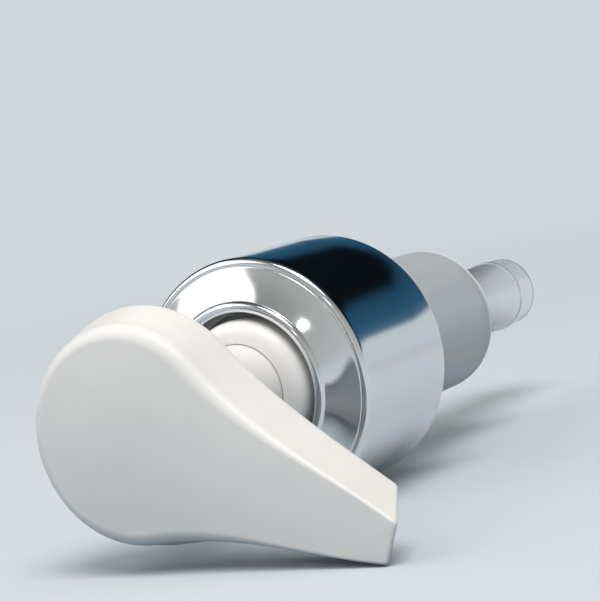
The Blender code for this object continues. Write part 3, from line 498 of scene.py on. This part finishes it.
# Valve balls, ground round: they take the place of the faceted solids
for name, node, body, slot in (
    ("lower_valve_ball", "inlet_ball", "inlet_valve", "inlet_ball_steel"),
    ("upper_valve_ball", "outlet_ball", "outlet_valve", "outlet_ball_steel"),
):
    low, high = (Vector(corner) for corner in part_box(node))
    bpy.ops.mesh.primitive_ico_sphere_add(
        subdivisions=5, radius=(high.x - low.x) / 2, location=(low + high) / 2
    )
    ball = bpy.context.object
    ball.name = name
    bpy.ops.object.transform_apply(location=True, rotation=True, scale=True)
    bpy.ops.object.shade_smooth()
    ball.data.materials.append(ball_steel)
    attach(ball, body)
    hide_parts(node)
    bpy.ops.object.select_all(action="DESELECT")

# Actuator head, in millimetres: a round end, S-curved sides and a straight cut nozzle with tight corners.
# FLARE is the share of a widening that the nozzle takes, and FLANK_SLOPE is how the sides run into it.
ROUND, REACH, HALF_NOZZLE, NOZZLE_CORNER = 12.5, 33.8, 2.8, 0.5
SHOULDER, FLARE, FLANK_SLOPE = math.radians(61.6), 0.8, 0.28
EDGE_Z, BASE_Z, TOP_Z, DRAFT, SLANT = 48.2, 42.6, 49.5, 1.5, 3.1
END_STEPS, SIDE_STEPS, CORNER_STEPS, EDGE_STEPS = 56, 30, 5, 12

# The top edge is rounded broadly at the round end and tightly at the nozzle, and blends between the two.
# The crown rises over a middle line that ends short of the nozzle.
BROAD_EDGE, TIGHT_EDGE, BROAD_SHORTENED = 2.0, 0.4, 0.6
BLEND_START, BLEND_LENGTH = 4, REACH - 8
CROWN, LINE_SHORT = 0.95, 1.5
CEILING_Z, WALL, FOOT_RADIUS = TOP_Z - 1.5, 1.1, 0.5


def teardrop(widening, reach, height):
    """One closed outline of the head at a height."""
    radius = ROUND + widening
    half = HALF_NOZZLE + FLARE * widening
    corner = min(NOZZLE_CORNER, half / 2)
    start = Vector((radius * math.cos(SHOULDER), radius * math.sin(SHOULDER)))
    end = Vector((reach - corner, half))
    run = end.x - start.x
    leave = Vector((run, -run / math.tan(SHOULDER))) / 3
    arrive = Vector((run, -FLANK_SLOPE * run)) / 3
    side = []
    for step in range(SIDE_STEPS + 1):
        t = step / SIDE_STEPS
        side.append(
            start * (1 - t) ** 3
            + (start + leave) * 3 * t * (1 - t) ** 2
            + (end - arrive) * 3 * t**2 * (1 - t)
            + end * t**3
        )
    for step in range(1, CORNER_STEPS + 1):
        angle = math.pi / 2 * (1 - step / CORNER_STEPS)
        side.append(Vector((end.x + corner * math.cos(angle), end.y - corner + corner * math.sin(angle))))
    outline = []
    for step in range(END_STEPS):
        angle = -SHOULDER - (math.tau - 2 * SHOULDER) * step / END_STEPS
        outline.append(Vector((radius * math.cos(angle), radius * math.sin(angle))))
    outline += side
    outline += [Vector((point.x, -point.y)) for point in reversed(side[1:])]
    return [(point.x, point.y, height) for point in outline]


def lean(height):
    """Share of the way from the top edge down to the base."""
    return (EDGE_Z - height) / (EDGE_Z - BASE_Z)


def drafted(height, inset, level=None):
    """The outline of the drafted side at a height, moved in by an inset and put at a level of its own."""
    level = height if level is None else level
    return teardrop(DRAFT * lean(height) - inset, REACH - SLANT * lean(height) - inset, level)


def drawn_in(ring, share, height, crown=0.0):
    """Pulls a ring in towards the head's long middle line, and lifts it by the crown where it is wide."""
    far = ring[END_STEPS + SIDE_STEPS][0] - LINE_SHORT
    pulled = []
    for x, y, _ in ring:
        spine = min(max(x, 0.0), far)
        lift = crown * (math.hypot(x - spine, y) / ROUND) ** 2 * (1 - share**2)
        pulled.append((spine + (x - spine) * share, y * share, height + lift))
    return pulled


def head_rings():
    """From the inside ceiling down the inner wall, round the foot, up the side, over the edge and crown."""
    rings = [drawn_in(drafted(CEILING_Z, 1.9), 0.5, CEILING_Z), drafted(CEILING_Z, 1.6)]
    for height in (CEILING_Z - 0.4, CEILING_Z - 2, CEILING_Z - 4, BASE_Z + 0.3):
        rings.append(drafted(height, WALL))
    for angle in (-90, -60, -30, 0):
        out = FOOT_RADIUS * math.cos(math.radians(angle)) - FOOT_RADIUS
        height = BASE_Z + FOOT_RADIUS + FOOT_RADIUS * math.sin(math.radians(angle))
        rings.append(drafted(height, -out))
    for share in (0.85, 0.7, 0.55, 0.4, 0.28):
        height = EDGE_Z - (EDGE_Z - BASE_Z) * share
        rings.append(teardrop(DRAFT * share, REACH - SLANT * share, height))
    for step in range(EDGE_STEPS + 1):
        angle = math.radians(90 * step / EDGE_STEPS)
        out, rise = 1 - math.cos(angle), 1 - math.sin(angle)
        broad = teardrop(
            DRAFT * lean(TOP_Z - BROAD_EDGE) - BROAD_EDGE * out,
            REACH - BROAD_SHORTENED * out,
            TOP_Z - BROAD_EDGE * rise,
        )
        tight = drafted(TOP_Z - TIGHT_EDGE, TIGHT_EDGE * out, TOP_Z - TIGHT_EDGE * rise)
        ring = []
        for wide, sharp in zip(broad, tight):
            share = min(max((wide[0] - BLEND_START) / BLEND_LENGTH, 0), 1)
            share = share * share * (3 - 2 * share)
            ring.append(tuple(w + (s - w) * share for w, s in zip(wide, sharp)))
        rings.append(ring)
    edge = rings[-1]
    for share in (0.96, 0.9, 0.8, 0.68, 0.54, 0.4, 0.26, 0.13, 0.03):
        rings.append(drawn_in(edge, share, TOP_Z, CROWN))
    return rings


head = stacked(head_rings())
bpy.ops.object.mode_set(mode="OBJECT")
bpy.ops.object.select_all(action="DESELECT")

# Round outlet, cut through the nozzle's end at the spout's height
SPOUT_Z, OUTLET_RADIUS, CUTTER_LENGTH, CUTTER_MIDDLE = 46.6, 2, 8, 33
bpy.ops.mesh.primitive_cylinder_add(
    vertices=48,
    radius=OUTLET_RADIUS * MM,
    depth=CUTTER_LENGTH * MM,
    location=(CUTTER_MIDDLE * MM, 0, SPOUT_Z * MM),
)
cutter = bpy.context.object
cutter.rotation_euler = (0, math.radians(90), 0)
bpy.ops.object.select_all(action="DESELECT")
bpy.context.view_layer.objects.active = head
head.select_set(True)
hole = head.modifiers.new("spout_hole", "BOOLEAN")
hole.operation = "DIFFERENCE"
hole.solver = "EXACT"
hole.object = cutter
bpy.ops.object.modifier_apply(modifier=hole.name)
bpy.data.objects.remove(cutter, do_unlink=True)
finish_piece(
    head,
    "teardrop_head",
    head_white,
    "actuator",
    "actuator_shell",
    HEAD_TURN,
    smooth=50,
)

# Core in the head: plate with stiffening lip, neck round the stem and the spout's tube
plate = stacked(
    [
        drafted(43.6, 2.6, 43.9),
        drafted(43.6, 2.2, 43.5),
        drafted(43.5, 1.6),
        drafted(43.6, 1.4),
        drafted(44.6, 1.4, 44.7),
    ]
)
finish_piece(
    plate,
    "head_base_plate",
    core_white,
    "actuator",
    "actuator_core",
    HEAD_TURN,
    smooth=50,
)
neck_outline = [(3.8, 21.0), (5.3, 21.0), (5.87, 21.6), (5.87, 43.0), (6.0, 43.6), (5.2, 44.0)]
neck_outline += [(5.2, 48.0), (1.9, 48.0), (1.9, 40.1), (3.8, 40.1)]
finish_piece(
    spun(softened(neck_outline, 0.2)),
    "head_neck",
    core_white,
    "actuator",
    turn=HEAD_TURN,
)
spout = spun(softened([(1.1, 5.0), (1.7, 5.0), (1.7, 31.6), (1.1, 31.6)], 0.15), 64)
bpy.ops.object.mode_set(mode="OBJECT")
spout.matrix_world = Matrix.Translation((0, 0, SPOUT_Z * MM)) @ Matrix.Rotation(math.radians(90), 4, "Y")
bpy.ops.object.transform_apply(location=True, rotation=True, scale=True)
finish_piece(spout, "spout_tube", core_white, "actuator", turn=HEAD_TURN)

# CAD node that stays, with a better finish
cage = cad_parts["ball_cage"]
cage.data.materials.clear()
cage.data.materials.append(inner_plastic)

# The studio as the camera, the chrome and the clear plastic see it: pale at the horizon, a deep blue card
# behind the pump with a dark ceiling above it, and a light grey room in front
HORIZON = "#D0D8DD"
world = bpy.data.worlds.new("studio")
bpy.context.scene.world = world
world.use_nodes = True
tree = world.node_tree
background = tree.nodes["Background"]
rays = add_node(tree, "ShaderNodeLightPath")
direction = add_node(tree, "ShaderNodeTexCoord").outputs["Generated"]
parts = add_node(tree, "ShaderNodeSeparateXYZ", {"Vector": direction})


def sky_ramp(stops):
    """A colour ramp by how steeply a ray points up, from (steepness, colour) stops."""
    ramp = add_node(tree, "ShaderNodeValToRGB", {"Fac": parts.outputs["Z"]})
    for position, shade in stops[1:-1]:
        ramp.color_ramp.elements.new(position).color = linear(shade)
    for element, (position, shade) in ((0, stops[0]), (-1, stops[-1])):
        ramp.color_ramp.elements[element].position = position
        ramp.color_ramp.elements[element].color = linear(shade)
    return ramp.outputs["Color"]


blue_card = sky_ramp(
    [
        (0.0, HORIZON),
        (0.135, HORIZON),
        (0.17, "#4D6E84"),
        (0.24, "#2B5A78"),
        (0.37, "#234A63"),
        (0.42, "#0A0E12"),
        (0.62, "#10161B"),
        (1.0, "#3B464E"),
    ]
)
grey_room = sky_ramp(
    [(0.0, HORIZON), (0.08, "#C4C5C4"), (0.45, "#B2B2AF"), (0.8, "#8E8F8E"), (1.0, "#6F7274")]
)
behind = add_node(
    tree,
    "ShaderNodeMapRange",
    {"Value": parts.outputs["Y"], "From Min": -0.1, "From Max": 0.3},
    interpolation_type="SMOOTHSTEP",
)
studio = add_node(
    tree,
    "ShaderNodeMix",
    {"Factor": behind.outputs["Result"], "A": grey_room, "B": blue_card},
    data_type="RGBA",
)
shown = add_node(
    tree,
    "ShaderNodeMix",
    {"Factor": rays.outputs["Is Diffuse Ray"], "A": studio.outputs[2], "B": linear("#BAB6B2")},
    data_type="RGBA",
)
tree.links.new(shown.outputs[2], background.inputs["Color"])
background.inputs["Strength"].default_value = 1.0

# Table, a large pale sheet that runs into the horizon's colour between two distances, in metres. The light
# that bounces off it is deeper and bluer than the sheet looks.
FADE_START, FADE_END = 0.10, 0.50
bpy.ops.mesh.primitive_plane_add(size=60, location=(0, 0, 0))
table = bpy.context.object
table.name = "pale_table"
table_paint, tree, shader, place = new_material("matt_pale_laminate")
fleck = add_node(tree, "ShaderNodeTexNoise", {"Vector": place, "Scale": 1 / (30 * MM), "Detail": 4.0})
tint = add_node(
    tree,
    "ShaderNodeMix",
    {"Factor": fleck.outputs["Fac"], "A": linear("#BEC7CD"), "B": linear("#C4CCD2")},
    data_type="RGBA",
)
rays = add_node(tree, "ShaderNodeLightPath")
bounced = add_node(
    tree,
    "ShaderNodeMix",
    {"Factor": rays.outputs["Is Diffuse Ray"], "A": tint.outputs[2], "B": linear("#647D8F")},
    data_type="RGBA",
)
tree.links.new(bounced.outputs[2], shader.inputs["Base Color"])
shader.inputs["Roughness"].default_value = 0.9
shader.inputs["Specular IOR Level"].default_value = 0.0
away = add_node(tree, "ShaderNodeVectorMath", {0: place}, operation="LENGTH")
fade = add_node(
    tree,
    "ShaderNodeMapRange",
    {"Value": away.outputs["Value"], "From Min": FADE_START, "From Max": FADE_END},
    interpolation_type="SMOOTHSTEP",
)
plain = add_node(
    tree, "ShaderNodeMath", {0: 1.0, 1: rays.outputs["Is Diffuse Ray"]}, operation="SUBTRACT"
)
far_off = add_node(
    tree,
    "ShaderNodeMath",
    {0: fade.outputs["Result"], 1: plain.outputs["Value"]},
    operation="MULTIPLY",
)
haze = add_node(tree, "ShaderNodeEmission", {"Color": linear(HORIZON), "Strength": 1.0})
both = add_node(
    tree,
    "ShaderNodeMixShader",
    {0: far_off.outputs["Value"], 1: shader.outputs["BSDF"], 2: haze.outputs["Emission"]},
)
tree.links.new(both.outputs["Shader"], tree.nodes["Material Output"].inputs["Surface"])
table.data.materials.append(table_paint)


def soft_light(name, place, target, width, depth, power, shade="#FFFFFF"):
    """A softbox aimed at a target, in metres and watts."""
    light = bpy.data.lights.new(name, "AREA")
    light.shape = "RECTANGLE"
    light.size = width
    light.size_y = depth
    light.energy = power
    light.color = linear(shade)[:3]
    lamp = bpy.data.objects.new(name, light)
    bpy.context.collection.objects.link(lamp)
    lamp.location = place
    aim = Vector(target) - Vector(place)
    lamp.rotation_euler = aim.to_track_quat("-Z", "Y").to_euler()


soft_light("left_softbox", (-0.40, -0.27, 0.38), (0, -0.02, 0.02), 0.52, 0.44, 0.95, "#FFFDFA")
soft_light("overhead_softbox", (0.11, -0.19, 0.50), (0, -0.02, 0.02), 0.28, 0.28, 0.9)
soft_light("small_front_lamp", (0.16, -0.60, 0.34), (0, 0, 0.02), 0.05, 0.05, 0.06)

# An even skylight that falls the same on the whole table, and that no mirror shows
skylight = bpy.data.lights.new("skylight", "SUN")
skylight.energy = 1.35
skylight.angle = math.radians(40)
sky_lamp = bpy.data.objects.new("skylight", skylight)
bpy.context.collection.objects.link(sky_lamp)
sky_lamp.rotation_euler = Vector((-0.34, 0.36, -0.87)).to_track_quat("-Z", "Y").to_euler()
sky_lamp.visible_glossy = False

# Camera, where the photograph's camera stood
camera_data = bpy.data.cameras.new("camera")
camera_data.sensor_fit = "HORIZONTAL"
camera_data.sensor_width = 36
camera_data.lens = 132
camera_data.clip_start = 0.01
camera = bpy.data.objects.new("camera", camera_data)
bpy.context.collection.objects.link(camera)
right = Vector((0.85666, 0.48785, -0.16771))
up = Vector((0.10089, 0.16040, 0.98188))
ahead = Vector((-0.50591, 0.85806, -0.08819))
camera.matrix_world = Matrix.Translation(Vector((133.66, -248.35, 49.16)) * MM) @ Matrix(
    (right, up, -ahead)
).transposed().to_4x4()
bpy.context.scene.camera = camera
bpy.context.scene.view_settings.view_transform = "Standard"
